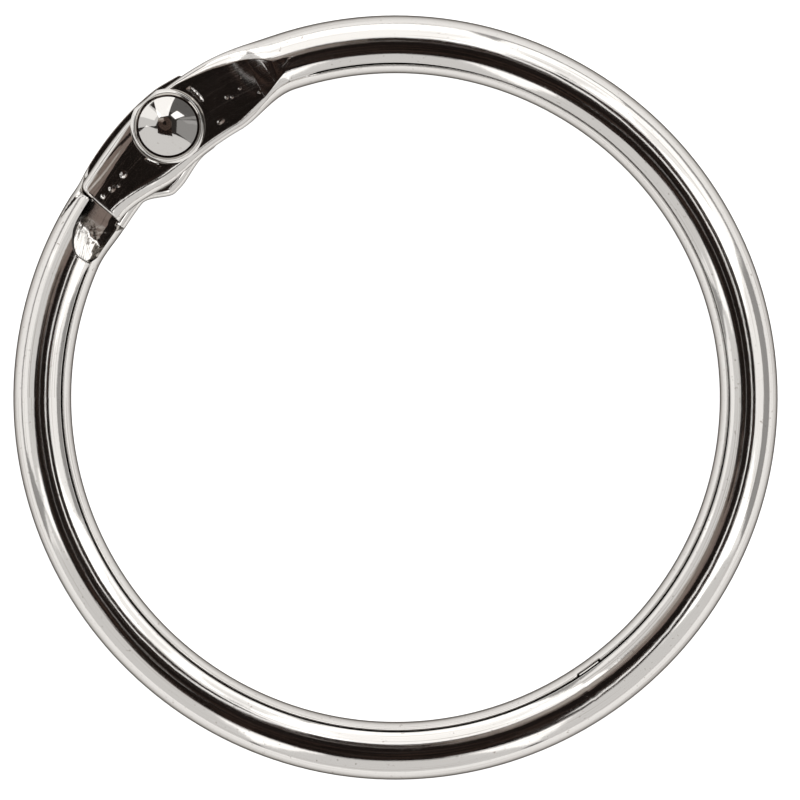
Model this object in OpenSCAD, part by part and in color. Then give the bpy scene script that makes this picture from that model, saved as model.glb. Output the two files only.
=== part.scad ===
// Hinged binder ring: two half rings rolled from strip, riveted together at a lapped, flattened hinge
// and plugged into each other at the closure. The ring lies flat on its back, centred on the Z axis,
// with the rivet's head upwards. Millimetres and degrees.

/* [Ring] */
// Clear diameter inside the closed ring
inner_d = 19; // [16:1:30]
// Outside diameter of the rolled tube
tube_d = 1.7; // [1.6:0.05:2.2]
// Thickness of the rolled strip
strip_t = 0.25; // [0.2:0.01:0.28]
// Width of the open seam that runs along each tube
seam_gap = 0.07; // [0.04:0.01:0.12]
// How far the seam sits round from the inside of the ring towards the front, in degrees
seam_turn = 45; // [35:1:55]

/* [Hinge tongues] */
// Where the rivet sits round the ring, in degrees
hinge_at = 130; // [120:1:140]
// Depth of the pressed flat below the front of the front half's tube
front_drop = 0.25; // [0.2:0.01:0.3]
// Height of the pressed flat above the back of the rear half's tube
rear_rise = 0.25; // [0.22:0.01:0.35]
// Running gap between the two lapped tongues
lap_gap = 0.03; // [0.02:0.01:0.05]
// Half width of the tongues at the rivet, on the inner side of the ring
tongue_in = 1.3; // [1.2:0.01:1.4]
// Half width of the tongues at the rivet, on the outer side of the ring
tongue_out = 1; // [0.95:0.01:1.1]

/* [Front half] */
// Distance from the rivet to where the front flat starts, along the ring
flat_start = 3.95; // [3.6:0.05:4.4]
// Length of the sloping run-in to the front flat, on the inner side of the ring
flat_run_in = 1; // [0.7:0.05:1.3]
// Distance from the rivet to the fold across that run-in
fold_at = 3.46; // [3.35:0.01:3.55]
// Depth of the run-in at its fold
fold_drop = 0.13; // [0.09:0.01:0.16]
// Distance from the rivet to where the flat starts to widen on the outer side of the ring
outer_start = 3.6; // [3.4:0.05:3.8]
// Distance from the rivet to where the flat is as deep on the outer side as on the inner side
outer_full_at = 2.2; // [2:0.05:2.5]
// Distance from the rivet to where the front tongue has its full width
front_wide_at = 1.8; // [1.7:0.05:2.2]
// Reach of the hood past the rivet
hood_reach = 3.07; // [2.6:0.01:3.1]
// Half width of the hood's end, on the inner side of the ring
hood_in = 0.77; // [0.7:0.01:0.9]
// Half width of the hood's end, on the outer side of the ring
hood_out = 0.82; // [0.75:0.01:0.9]
// Width of the hood's rolled-over outer edge
hood_roll_w = 0.6; // [0.4:0.01:0.7]

/* [Rear half] */
// Distance from the rivet to where the dished run-in starts, along the ring
dish_start = 4.75; // [4.6:0.05:5.4]
// Length of the dish's sloping floor
dish_run_in = 1.1; // [0.9:0.05:1.2]
// Distance from the rivet to where the walls of the dish have come down to the lap
dish_end = 3.28; // [3.26:0.01:3.4]
// Length over which the walls of the dish come down, at the hood's end
wall_fall = 0.46; // [0.4:0.02:0.6]
// Reach of the rear tongue past the rivet
tongue_reach = 1.08; // [0.95:0.01:1.15]
// Half width of the rear tongue at its heel, on the inner side of the ring
heel_in = 1.54; // [1.42:0.01:1.6]
// Width of the rear tongue's rolled outer edge beside the dish
rear_roll_w = 0.5; // [0.35:0.01:0.55]

/* [Rivet] */
// Diameter of the rivet's shank
shank_d = 0.9; // [0.7:0.05:1.1]
// Radial running clearance round the shank
shank_play = 0.03; // [0.03:0.01:0.05]
// Diameter of the domed head
dome_d = 1.72; // [1.5:0.02:1.9]
// Height of the domed head above its collar
dome_h = 0.56; // [0.4:0.02:0.7]
// Diameter of the collar under the dome
collar_d = 2.2; // [2:0.02:2.3]
// Height of the collar
collar_h = 0.12; // [0.08:0.01:0.2]
// Diameter of the closed tail
tail_d = 1.6; // [1.3:0.05:1.8]
// Height of the closed tail
tail_h = 0.18; // [0.12:0.01:0.2]
// Running gap under the rear tongue
tail_gap = 0.03; // [0.02:0.01:0.05]

/* [Closure] */
// Where the two halves meet round the ring, in degrees
closure_at = 308; // [300:1:314]
// Length of the necked nose's straight part
nose_len = 0.6; // [0.4:0.05:0.8]
// Length of the nose's tapered tip
nose_tip = 0.28; // [0.2:0.02:0.35]
// Radial clearance round the nose in its socket
nose_play = 0.05; // [0.04:0.01:0.06]
// Length of the shoulder that the nose is necked from
nose_root = 0.5; // [0.4:0.05:0.8]
// Width of the seam where it opens out at the socket's mouth
mouth_gap = 0.16; // [0.13:0.01:0.2]
// Length of the opened-out seam
mouth_len = 0.86; // [0.6:0.02:1]

/* [Hidden] */
$fn = 96;
tube_r = tube_d / 2;
ring_r = inner_d / 2 + tube_r;      // radius of the tube's centre line
mm_to_deg = 180 / (PI * ring_r);    // turn along the centre line for each millimetre
lap_z = tube_r;                     // height of the plane where the tongues lap
front_face_z = tube_d - front_drop; // the flat that the rivet's head sits on
shank_r = shank_d / 2;
bore_r = tube_r - strip_t;          // inside radius of the tube, which is the socket

SIDES = 40;           // points round each section of a hinge end
TURN = 360 / SIDES;
STEPS = 34;           // sections along each hinge end, before its rounded corners
CROWDING = 1.4;       // over 1, the sections crowd towards the tube, where the shape changes most
ROUND_STEPS = 4;      // sections through a tongue's rounded corners
first_cut = 0.02;     // depth at which a flat starts, so that its edge shows as a crease
splice_len = 0.15;    // how far a hinge end reaches into its tube's wall
splice_inset = 0.006; // how far the spliced part stays inside the wall's surfaces
splice_bare = 0.05;   // how much of the spliced part's length shows before the tube's end
SWEEP_FN = 300;       // facets in a full turn of the long tubes, so that the splice stays inside them
edge_in = 0.27;       // width of the tongues' rolled inner edge
edge_out = 0.13;      // width of the front tongue's outer edge beside the rivet
edge_out_far = 0.5;   // width of the front tongue's outer edge beside the flat's start
hood_edge_in = 0.48;  // width of the hood's inner edge
hood_corner = 0.2;    // corner radius of the hood's end
tongue_corner = 0.5;  // corner radius of the rear tongue's end
dish_wall = 0.07;     // run of the dish's walls from crest to floor, seen from the front
dish_wall_wide = 0.2; // the same for its outer wall at the dish's wide end
rear_show = 0.07;     // how far the rear tongue shows past the front one, on the outer side
rear_swell = 0.2;     // how far the rear half stands in past the tube, beyond its heel
roll_low = 0.25;      // height of the hood's widest point, as a share of its thickness
edge_least = 0.1;     // no tongue's edge is narrower than this
neck_gap = 0.1;       // width of the tick where the nose is necked down, at the closure
tip_sunk = 0.05;      // how far the nose's tapered tip reaches back into its straight part
tip_step = 0.005;     // how far the tip starts below the straight part's surface
dish_side = 66;       // the dish's crest along its length, in degrees round the tube
dish_side_wide = 52;  // the dish's crest at its wide end, in degrees round the tube
dish_lip_turn = 11;   // how far the dish's inner lip runs round past the seam, in degrees
dish_tip = 25;        // width of the dish's very end, in degrees short of the seam
dish_round = 0.85;    // length of the dish's rounded end
dish_tip_len = 0.5;   // length over which the dish's lip comes away from the seam
dish_widens_over = 0.8; // length over which the dish then widens
hollow_short = 0.25;  // how far the front half's hollow stops short of its full width
groove_w = 0.02;      // how far the collar's groove starts outside the dome
cut_over = 1;         // how far cutting tools run past what they cut

// Where each face of a hinge end's section ends, in even angles counted from its outer side
OUTER_END = 45;
FRONT_END = 135;
INNER_END = 225;

// Where the front tongue's edges change, measured from the rivet towards its own tube: where each
// change starts and where it is complete
front_edge_change = [0.4, -1];
far_edge_change = [0.9, 3];
roll_change = [-0.3, -1.8];
hood_in_from = -0.8;
hood_out_from = -1.3;

// The same for the rear tongue
rear_out_change = [0.3, 2.2];
rear_show_from = -0.3;
heel_change = [-0.4, 1.05];
heel_back_change = [1.25, 2.3];
rear_roll_change = [1.8, 2.6];
dish_widens = [dish_start - dish_tip_len, dish_start - dish_tip_len - dish_widens_over];
dish_lip_change = [dish_start, dish_start - dish_tip_len];

// ---- helpers -------------------------------------------------------------------------------------

function mix(a, b, t) = a + (b - a) * t;
function clamp01(t) = max(0, min(1, t));
function ease(t) = let (c = clamp01(t)) c * c * (3 - 2 * c);
// How far u has come from one station to another, as a share, straight or eased
function share(u, from, to) = clamp01((u - from) / (to - from));
function eased(u, from, to) = ease(share(u, from, to));
function eased_over(u, change) = eased(u, change[0], change[1]);
// How far a corner of radius r draws in at a distance d from the end
function corner(d, r) = d >= r ? 0 : r - sqrt(r * r - (r - d) * (r - d));

// ---- sections of the hinge ends ------------------------------------------------------------------
// A section is SIDES points [out, up]: out from the centre line, away from the ring's centre, and up
// from the surface that the ring lies on. The angle t counts round it from the outer side, through the
// front at 90. A flattened section has its flats at 45 to 135 and at 225 to 315, and edges between.

// A point of the round tube
function tube_point(a, r) = [r * cos(a), tube_r + r * sin(a)];
// The round tube, with its front cut flat, at a depth below its crown that differs from side to side
function round_point(t, r, drop_o, drop_i) =
    let (crest_o = asin(1 - drop_o / r), crest_i = 180 - asin(1 - drop_i / r))
    t <= OUTER_END ? tube_point(mix(-OUTER_END, crest_o, share(t, -OUTER_END, OUTER_END)), r) :
    t <= FRONT_END ? mix(tube_point(crest_o, r), tube_point(crest_i, r), share(t, OUTER_END, FRONT_END)) :
    t <= INNER_END ? tube_point(mix(crest_i, INNER_END, share(t, FRONT_END, INNER_END)), r) :
    tube_point(t, r);

// The pressed tube: widths to the outer and inner side, edge widths, and heights of its faces
function flat_point(t, out, in, edge_o, edge_i, top, bottom, middle) =
    t <= OUTER_END ? [out - edge_o + edge_o * cos(2 * t),
                      middle + (t > 0 ? top - middle : middle - bottom) * sin(2 * t)] :
    t <= FRONT_END ? [mix(out - edge_o, edge_i - in, share(t, OUTER_END, FRONT_END)), top] :
    t <= INNER_END ? [edge_i - in - edge_i * cos(2 * t),
                      middle - (t < 180 ? top - middle : middle - bottom) * sin(2 * t)] :
    [mix(edge_i - in, out - edge_o, share(t, INNER_END, 360 - OUTER_END)), bottom];

function ring_angles() = [for (i = [0 : SIDES - 1]) i * TURN - OUTER_END];

// Depth of the front half's flat on its inner side, where the run-in is folded, and on its outer side
function drop_inner(u) = first_cut + (fold_drop - first_cut) * share(u, flat_start, fold_at)
                         + (front_drop - fold_drop) * share(u, fold_at, flat_start - flat_run_in);
function drop_outer(u) = mix(first_cut, front_drop, eased(u, outer_start, outer_full_at));

// Front half, at u from the rivet towards its tube. inset moves the section inside its own surface.
function front_section(u, inset) =
    let (pressed = eased(u, flat_start, front_wide_at),
         to_hood = eased(u, hood_in_from, -hood_reach),
         rolled = eased_over(u, roll_change),
         nip = corner(u + hood_reach, hood_corner),
         out = mix(tongue_out, hood_out, eased(u, hood_out_from, -hood_reach)) - nip - inset,
         in = mix(tongue_in, hood_in, to_hood) - inset,
         edge_near = mix(edge_out, edge_out_far, share(u, far_edge_change[0], far_edge_change[1])),
         edge_o = max(mix(edge_near, hood_roll_w, rolled) - inset, edge_least),
         edge_i = max(mix(edge_in, hood_edge_in, eased_over(u, front_edge_change)) - inset, edge_least),
         top = front_face_z - inset,
         bottom = lap_z + lap_gap / 2 + inset,
         middle = mix((top + bottom) / 2, bottom + (top - bottom) * roll_low, rolled))
    [for (t = ring_angles())
        mix(round_point(t, tube_r - inset, drop_outer(u), drop_inner(u)),
            flat_point(t, out, in, edge_o, edge_i, top, bottom, middle), pressed)];

// Rear half, at u from the rivet towards its tube
function rear_out(u) = mix(tongue_out + rear_show, tube_r, eased_over(u, rear_out_change))
                       - rear_show * eased(u, rear_show_from, -tongue_reach);
function rear_in(u) = mix(mix(tongue_in, heel_in, eased_over(u, heel_change)),
                          tube_r + rear_swell, eased_over(u, heel_back_change));
function rear_flat(u, inset) =
    let (nip = corner(u + tongue_reach, tongue_corner),
         edge_o = max(mix(edge_in, rear_roll_w, eased_over(u, rear_roll_change)) - inset, edge_least),
         edge_i = max(edge_in - inset, edge_least),
         top = lap_z - lap_gap / 2 - inset,
         bottom = rear_rise + inset)
    [for (t = ring_angles())
        flat_point(t, rear_out(u) - nip - inset, rear_in(u) - nip - inset,
                   edge_o, edge_i, top, bottom, (top + bottom) / 2)];

// The dish: the strip's front, from an inner lip beside the seam round to a crest, is pushed down to
// the lap. It widens towards the hinge, where its walls come down steeply at the hood's end.
function floor_sunk(u) = eased(u, dish_start + first_cut, dish_start - dish_run_in);
function walls_sunk(u) = eased(u, dish_end + wall_fall, dish_end);
function dish_crest(u) =
    let (rounding = share(u, dish_start - dish_round, dish_start),
         side = mix(dish_side, dish_side_wide, eased_over(u, dish_widens)))
    mix(180 - seam_turn - dish_tip, side, sqrt(1 - rounding * rounding));
function dish_lip(u) = 180 - seam_turn + dish_lip_turn * eased_over(u, dish_lip_change);

// Turns a section's even angles so that its front face runs from the crest to the lip
function to_dish(t, crest, lip) =
    t <= OUTER_END ? mix(-OUTER_END, crest, share(t, -OUTER_END, OUTER_END)) :
    t <= FRONT_END ? mix(crest, lip, share(t, OUTER_END, FRONT_END)) :
    t <= INNER_END ? mix(lip, INNER_END, share(t, FRONT_END, INNER_END)) : t;

// The tube's inner side stands in further and further towards the heel
function swelled(p, u) =
    [p[0] < 0 ? p[0] * mix(1, 1 + rear_swell / tube_r, eased(u, dish_start, dish_end)) : p[0], p[1]];

function dish_point(t, u, inset) =
    let (r = tube_r - inset,
         crest = dish_crest(u),
         lip = dish_lip(u),
         a = to_dish(t, crest, lip),
         across = share(t, OUTER_END + TURN, FRONT_END - TURN),
         chord = tube_r + r * mix(sin(crest), sin(lip), across),
         wall_o = mix(dish_wall, dish_wall_wide, eased_over(u, dish_widens)),
         floor_at = [mix(r * cos(crest) - wall_o, swelled(tube_point(lip, r), u)[0] + dish_wall, across),
                     mix(chord, lap_z - lap_gap / 2 - inset, floor_sunk(u))])
    t > OUTER_END && t < FRONT_END && u <= dish_start ? floor_at : swelled(tube_point(a, r), u);

function rear_section(u, inset) =
    let (flat = rear_flat(u, inset), angles = ring_angles())
    [for (i = [0 : SIDES - 1]) mix(dish_point(angles[i], u, inset), flat[i], walls_sunk(u))];

// The hollow inside the dished end stays a strip's thickness under the dish's floor
function rear_void(u) =
    let (flat = rear_flat(u, strip_t), angles = ring_angles(),
         roof = mix(tube_d - 2 * first_cut, lap_z - lap_gap / 2, floor_sunk(u)) - strip_t,
         narrowed = eased(u, dish_start, dish_end))
    [for (i = [0 : SIDES - 1])
        let (a = to_dish(angles[i], dish_crest(u), dish_lip(u)),
             r = bore_r + (u >= dish_start ? splice_inset : 0),
             p = mix(tube_point(a, r), flat[i], narrowed))
        [p[0], u >= dish_start ? p[1] : min(p[1], roof)]];

// ---- lofts ---------------------------------------------------------------------------------------

// Places a section's points round the ring. side is -1 for the front half and 1 for the rear half.
function placed(section, u, side) =
    let (a = hinge_at + side * u * mm_to_deg)
    [for (p = section) [(ring_r + p[0]) * cos(a), (ring_r + p[0]) * sin(a), p[1]]];

// Stations from where a hinge end joins its tube to its tip, closer together through the corners
function stations(start, tip, radius) =
    concat([for (i = [0 : STEPS - 1]) mix(start, tip + radius, pow(i / STEPS, CROWDING))],
           [for (i = [0 : ROUND_STEPS]) tip + radius * (1 - sin(90 * i / ROUND_STEPS))]);

// The point in the middle of a placed section
function middle_of(section) = [for (p = section) 1 / len(section)] * section;

// A hollow horn: an outer skin closed at its tip, an inner skin closed earlier, and the wall's end
// face between them at the start. outer and inner are lists of placed sections.
module horn(outer, inner, side) {
    n = SIDES;
    last_out = (len(outer) - 1) * n;
    base_in = len(outer) * n;
    last_in = base_in + (len(inner) - 1) * n;
    middle_out = last_in + n;
    middle_in = middle_out + 1;
    wall = concat(
        [for (r = [0 : n : last_out - 1], i = [0 : n - 1]) let (j = (i + 1) % n)
            [r + i, r + j, r + n + j, r + n + i]],
        [for (r = [base_in : n : last_in - 1], i = [0 : n - 1]) let (j = (i + 1) % n)
            [r + j, r + i, r + n + i, r + n + j]],
        [for (i = [0 : n - 1]) let (j = (i + 1) % n) [base_in + i, base_in + j, j, i]],
        [for (i = [0 : n - 1]) [last_out + i, last_out + (i + 1) % n, middle_out]],
        [for (i = [0 : n - 1]) [last_in + (i + 1) % n, last_in + i, middle_in]]);
    flip = side < 0;
    polyhedron(points = concat([for (s = outer) each s], [for (s = inner) each s],
                               [middle_of(outer[len(outer) - 1]), middle_of(inner[len(inner) - 1])]),
               faces = flip ? wall : [for (f = wall) [for (i = [len(f) - 1 : -1 : 0]) f[i]]],
               convexity = 8);
}

// ---- tubes and closure ---------------------------------------------------------------------------

// The strip rolled to a C, seen along the tube
module c_section(gap) {
    difference() {
        circle(r = tube_r);
        circle(r = bore_r);
        rotate(180 - seam_turn)
            translate([0, -gap / 2]) square([tube_d, gap]);
    }
}

// Sweeps a 2D section along the centre line, from one angle to another
module swept(from, to) {
    rotate([0, 0, from])
        rotate_extrude(angle = to - from, $fn = SWEEP_FN)
            translate([ring_r, tube_r]) children();
}

// The tube's end, necked down to a nose that plugs into the other half
module nose() {
    nose_r = bore_r - nose_play;
    tip_r = nose_r - nose_tip / 2;
    neck_at = closure_at + neck_gap * mm_to_deg;
    nose_end = closure_at - nose_len * mm_to_deg;
    tip_end = nose_end - nose_tip * mm_to_deg;
    difference() {
        union() {
            swept(neck_at, neck_at + nose_root * mm_to_deg) circle(r = tube_r - strip_t / 2);
            swept(nose_end, neck_at + nose_root / 2 * mm_to_deg) circle(r = nose_r);
            rotate([0, 0, nose_end])
                translate([ring_r, tip_sunk, tube_r])
                    rotate([90, 0, 0])
                        cylinder(h = nose_tip + tip_sunk, r1 = nose_r - tip_step, r2 = tip_r);
        }
        swept(tip_end - cut_over * mm_to_deg, neck_at + (nose_root + cut_over) * mm_to_deg)
            circle(r = nose_r - strip_t);
    }
}

module rivet_bore() {
    translate([ring_r * cos(hinge_at), ring_r * sin(hinge_at), -cut_over])
        cylinder(r = shank_r + shank_play, h = tube_d + 2 * cut_over);
}

// ---- the three pieces ----------------------------------------------------------------------------

module front_half_ring() {
    start = flat_start;
    void_end = front_wide_at + hollow_short;
    spots = stations(start, -hood_reach, hood_corner);
    hollow_spots = [for (i = [0 : STEPS / 2]) mix(start, void_end, i / (STEPS / 2))];
    spliced = start + splice_len;
    color([0.80, 0.78, 0.76])
    difference() {
        union() {
            swept(closure_at, hinge_at + 360 - (start + splice_bare) * mm_to_deg) c_section(seam_gap);
            nose();
            horn(concat([placed(front_section(start, splice_inset), spliced, -1)],
                        [for (u = spots) placed(front_section(u, u == start ? splice_inset : 0), u, -1)]),
                 concat([placed(front_section(start, strip_t - splice_inset), spliced, -1)],
                        [for (u = hollow_spots)
                            placed(front_section(u, strip_t - (u == start ? splice_inset : 0)), u, -1)]),
                 -1);
        }
        rivet_bore();
    }
}

module rear_half_ring() {
    start = dish_start;
    void_end = dish_end;
    spots = stations(start, -tongue_reach, tongue_corner);
    hollow_spots = [for (i = [0 : STEPS / 2]) mix(start, void_end, i / (STEPS / 2))];
    spliced = start + splice_len;
    socket_mouth = closure_at - mouth_len * mm_to_deg;
    color([0.78, 0.76, 0.74])
    difference() {
        union() {
            swept(hinge_at + (start + splice_bare) * mm_to_deg, closure_at) c_section(seam_gap);
            horn(concat([placed(rear_section(spliced, splice_inset), spliced, 1),
                         placed(rear_section(spliced, splice_inset), start, 1)],
                        [for (u = spots) if (u < start) placed(rear_section(u, 0), u, 1)]),
                 concat([placed(rear_void(spliced), spliced, 1)],
                        [for (u = hollow_spots) placed(rear_void(u), u, 1)]),
                 1);
        }
        rivet_bore();
        swept(socket_mouth, closure_at + cut_over * mm_to_deg)
            rotate(180 - seam_turn) translate([0, -mouth_gap / 2]) square([tube_d, mouth_gap]);
    }
}

// One turned and closed rivet: dome, collar with a groove inside it, shank and tail
module hinge_rivet() {
    dome_r = dome_d / 2;
    ball_r = (dome_r * dome_r + dome_h * dome_h) / (2 * dome_h);
    collar_r = collar_d / 2;
    tail_top = rear_rise - tail_gap;
    collar_top = front_face_z + collar_h;
    color([0.86, 0.85, 0.84])
    translate([ring_r * cos(hinge_at), ring_r * sin(hinge_at), 0])
    rotate_extrude()
    union() {
        // shank
        translate([0, tail_top - tail_h / 2])
            square([shank_r, front_face_z - tail_top + tail_h / 2 + collar_h / 2]);
        // tail, with its edge bevelled
        polygon([[0, tail_top - tail_h], [tail_d / 2 - tail_h / 2, tail_top - tail_h],
                 [tail_d / 2, tail_top - tail_h / 2], [tail_d / 2, tail_top], [0, tail_top]]);
        // collar, with a rounded rim and a groove against the dome
        translate([0, front_face_z]) square([dome_r + groove_w, collar_h / 2]);
        translate([0, front_face_z]) square([collar_r - collar_h / 2, collar_h / 2]);
        intersection() {
            translate([collar_r - collar_h, front_face_z]) circle(r = collar_h);
            translate([0, front_face_z]) square([collar_r, collar_h]);
        }
        // dome
        intersection() {
            translate([0, collar_top + dome_h - ball_r]) circle(r = ball_r);
            translate([0, front_face_z]) square([dome_r, dome_h + collar_h]);
        }
    }
}

front_half_ring();
rear_half_ring();
hinge_rivet();
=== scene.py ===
"""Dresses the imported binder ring: two bright rolled halves, a pressed hinge and a domed rivet, lying on
a pale floor under soft studio light."""
import math

import bpy
import numpy as np
from bpy.props import FloatProperty, FloatVectorProperty, PointerProperty
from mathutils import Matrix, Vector


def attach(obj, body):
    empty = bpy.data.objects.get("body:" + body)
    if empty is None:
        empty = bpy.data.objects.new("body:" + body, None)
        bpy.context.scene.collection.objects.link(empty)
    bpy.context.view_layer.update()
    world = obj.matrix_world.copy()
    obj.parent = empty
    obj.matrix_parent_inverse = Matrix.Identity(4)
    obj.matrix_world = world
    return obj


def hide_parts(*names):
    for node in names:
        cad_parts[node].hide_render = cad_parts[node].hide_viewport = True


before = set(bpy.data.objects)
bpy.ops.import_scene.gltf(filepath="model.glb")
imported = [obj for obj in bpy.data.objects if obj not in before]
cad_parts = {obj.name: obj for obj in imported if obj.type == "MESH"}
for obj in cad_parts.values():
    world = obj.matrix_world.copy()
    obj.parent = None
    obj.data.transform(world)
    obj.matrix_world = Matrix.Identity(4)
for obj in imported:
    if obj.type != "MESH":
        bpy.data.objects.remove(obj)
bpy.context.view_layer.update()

bl_info = {
    "name": "Binder ring",
    "version": (1, 0, 0),
    "blender": (4, 5, 0),
    "location": "3D View > Sidebar > Binder ring",
    "description": "Models the two halves, the hinge and the rivet of a small metal binder ring",
    "category": "Add Mesh",
}

MM = 0.001


# ---- sizes and looks that can be changed ---------------------------------------------------------


def length(name, description, default):
    """A length property, in metres, given in millimetres."""
    return FloatProperty(name=name, description=description, default=default * MM,
                         unit="LENGTH", subtype="DISTANCE", precision=5)


class RingSizes(bpy.types.PropertyGroup):
    """Sizes of the seam, the pressed flats and the rivet"""
    seam_gap: length("Seam gap", "Width of the open seam along each tube", 0.07)
    lip_round: length("Lip radius", "Radius on the seam's two lips", 0.035)
    front_drop: length("Front drop", "Depth of the pressed flat below the tube's front", 0.25)
    rear_rise: length("Rear rise", "Height of the rear tongue's flat above the tube's back", 0.25)
    dome_d: length("Dome diameter", "Diameter of the rivet's domed head", 1.72)
    collar_d: length("Collar diameter", "Diameter of the collar under the dome", 2.2)


class RingLooks(bpy.types.PropertyGroup):
    """Colours of the metal and of the stage"""
    plating: FloatVectorProperty(name="Plating", description="Colour of the bright plating",
                                 subtype="COLOR", default=(0.62, 0.60, 0.575))
    tarnish: FloatVectorProperty(name="Tarnish", description="Colour where the plating is thin or dirty",
                                 subtype="COLOR", default=(0.20, 0.16, 0.13))
    floor: FloatVectorProperty(name="Floor", description="Colour of the pale floor",
                               subtype="COLOR", default=(0.55, 0.55, 0.55))
    floor_glow: FloatProperty(name="Light table", description="Light that comes up through the floor",
                              default=0.80, min=0.0, max=1.0, subtype="FACTOR")
    gloss: FloatProperty(name="Roughness", description="Roughness of the bright plating",
                         default=0.07, min=0.0, max=1.0, subtype="FACTOR")


# ---- the ring's frame, in millimetres ------------------------------------------------------------

HINGE_AT = 130.0      # where the rivet sits round the ring, in degrees
CLOSURE_AT = 308.0    # where the two halves meet
SEAM_AT = 135.0       # where the seam sits round the tube's section, counted from the outer side
SEAM_COLUMN = 165.0   # the seam's place among the front half's section angles
TUBE_R = 0.85         # outside radius of the tube
RING_R = 10.35        # radius of the ring to the tube's middle
BORE_R = 0.60         # inside radius of the tube
LAP_Z = 0.85          # height of the plane where the two tongues lap
LAP_PLAY = 0.015      # how far each tongue stays clear of it
DEG_PER_MM = math.degrees(1 / RING_R)


def mix(a, b, t):
    """The value that lies a share t of the way from a to b."""
    return a + (b - a) * t


def share(u, start, end):
    """How far u has come from one station to another, from 0 to 1."""
    return float(np.clip((u - start) / (end - start), 0, 1))


def eased(u, start, end):
    """The same share, with a soft start and a soft end."""
    t = share(u, start, end)
    return t * t * (3 - 2 * t)


def corner(d, r):
    """How far a corner of radius r draws in at a distance d from the end."""
    return 0.0 if d >= r else r - math.sqrt(max(r * r - (r - d) ** 2, 0.0))


def on_circle(angles, r=TUBE_R):
    """Section points at angles round the tube, in degrees."""
    a = np.radians(angles)
    return np.stack([r * np.cos(a), TUBE_R + r * np.sin(a)], axis=1)


# ---- sections ------------------------------------------------------------------------------------
# A section is a list of points [out, up] in millimetres: out from the tube's centre line, and up from
# the floor. Its angle t runs from the outer side, at 0, through the front, at 90. In a pressed section
# the flats are at 45 to 135 and at 225 to 315.


def pressed(t, out, inn, edge_o, edge_i, top, bottom, middle):
    """A pressed oval: its widths to each side, its edges' widths, and the heights of its faces."""
    s2 = np.sin(np.radians(2 * t))
    c2 = np.cos(np.radians(2 * t))
    w = np.radians(2 * (t - 180))
    right = np.stack([out - edge_o + edge_o * c2,
                      middle + np.where(t > 0, top - middle, middle - bottom) * s2], axis=1)
    front = np.stack([mix(out - edge_o, edge_i - inn, (t - 45) / 90), np.full_like(t, top)], axis=1)
    left = np.stack([edge_i - inn - edge_i * np.cos(w),
                     middle - np.where(t < 180, top - middle, middle - bottom) * np.sin(w)], axis=1)
    back = np.stack([mix(edge_i - inn, out - edge_o, (t - 225) / 90), np.full_like(t, bottom)], axis=1)
    pick = np.digitize(t, [45, 135, 225], right=True)[:, None]
    return np.choose(pick, [right, front, left, back])


def cut_round(t, drop_o, drop_i, parting=0.0):
    """The round tube with its front cut flat, to a depth that differs from side to side. parting is the
    half angle kept clear for the seam."""
    crest = math.degrees(math.asin(1 - drop_o / TUBE_R))
    inner = 180 - math.degrees(math.asin(1 - drop_i / TUBE_R))
    a = np.where(t <= 45, mix(-45, crest, (t + 45) / 90),
                 np.where(t <= 225, mix(inner, 225, (t - 135) / 90), t))
    if parting:
        before = mix(inner, SEAM_AT - parting, (a - inner) / (SEAM_AT - inner))
        after = mix(SEAM_AT + parting, 225, (a - SEAM_AT) / (225 - SEAM_AT))
        side = np.where(a <= SEAM_AT, before, after)
        a = np.where((t > 135) & (t <= 225), side, a)
    crests = on_circle(np.array([crest, inner]))
    flat_part = mix(crests[0], crests[1], ((t - 45) / 90)[:, None])
    return np.where(((t > 45) & (t <= 135))[:, None], flat_part, on_circle(a))


# Front half. Stations u run along it from the rivet, up towards its tube and down to the hood's end.
FLAT_START = 4.04             # where the pressed flat starts
FLAT_FULL = 2.95              # where it is as deep as it gets
FLAT_BITE = 0.004             # how deep its outer side is cut where it starts
OUTER_DROPS = (3.6, 2.2)      # where its outer side starts to drop, and where it is down
FRONT_WIDENS = (3.95, 1.8)    # where the tube starts to widen to the flat, and where it has
FLAT_OUT, FLAT_IN = 0.95, 1.3         # how far the flat reaches out and in beside the rivet
HOOD_REACH = 3.07
HOOD_OUT, HOOD_IN = 0.76, 0.77        # how far its end reaches out and in
HOOD_ROLLS = (-0.3, -1.8)     # where the outer side starts to roll down to a hood, and where it has
HOOD_RIM = 0.24               # width of the rounded rim along the hood's outer side
HOOD_LEAN = 0.17              # slope of the hood's outer side, inside its rim
HOOD_BEND = (0.40, 0.22)      # how far out that slope starts, where it begins and towards the end
HOOD_BEND_SOFT = 0.08         # how far it takes to get there
HOOD_SKEW = 0.13              # how far the hood's end runs askew for each millimetre across
HOOD_CORNER = 0.2             # radius of the corner at the outer side of its end
HOOD_NOSE = 0.1               # radius over its front edge
FLAT_EDGE_OUT = (0.13, 0.5)   # width of the flat's rounded outer edge, beside the rivet and at the tube
FLAT_EDGE_IN = (0.27, 0.48)   # width of its inner edge, and of the hood's
SHELF_AT = 0.56               # a level crease in the leaning side: how far out it lies, and its width
SHELF_W = 0.06
FOLD_AT = 3.46                # the fold across the flat's run-in, and its depth there
FOLD_DROP = 0.13
FOLD_RIDGE = 0.003            # the burr along the two folds that meet at the flat's inner edge: its
FOLD_RIDGE_W = 0.025          # height and half width
FOLD_CORNER = 0.45            # how far in they meet
FOLD_SLOPES = (0.21, 1.41)    # how far each fold runs along for each millimetre across
FOLD_STEEPER = 1.7            # how much narrower the second one is, measured along

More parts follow.
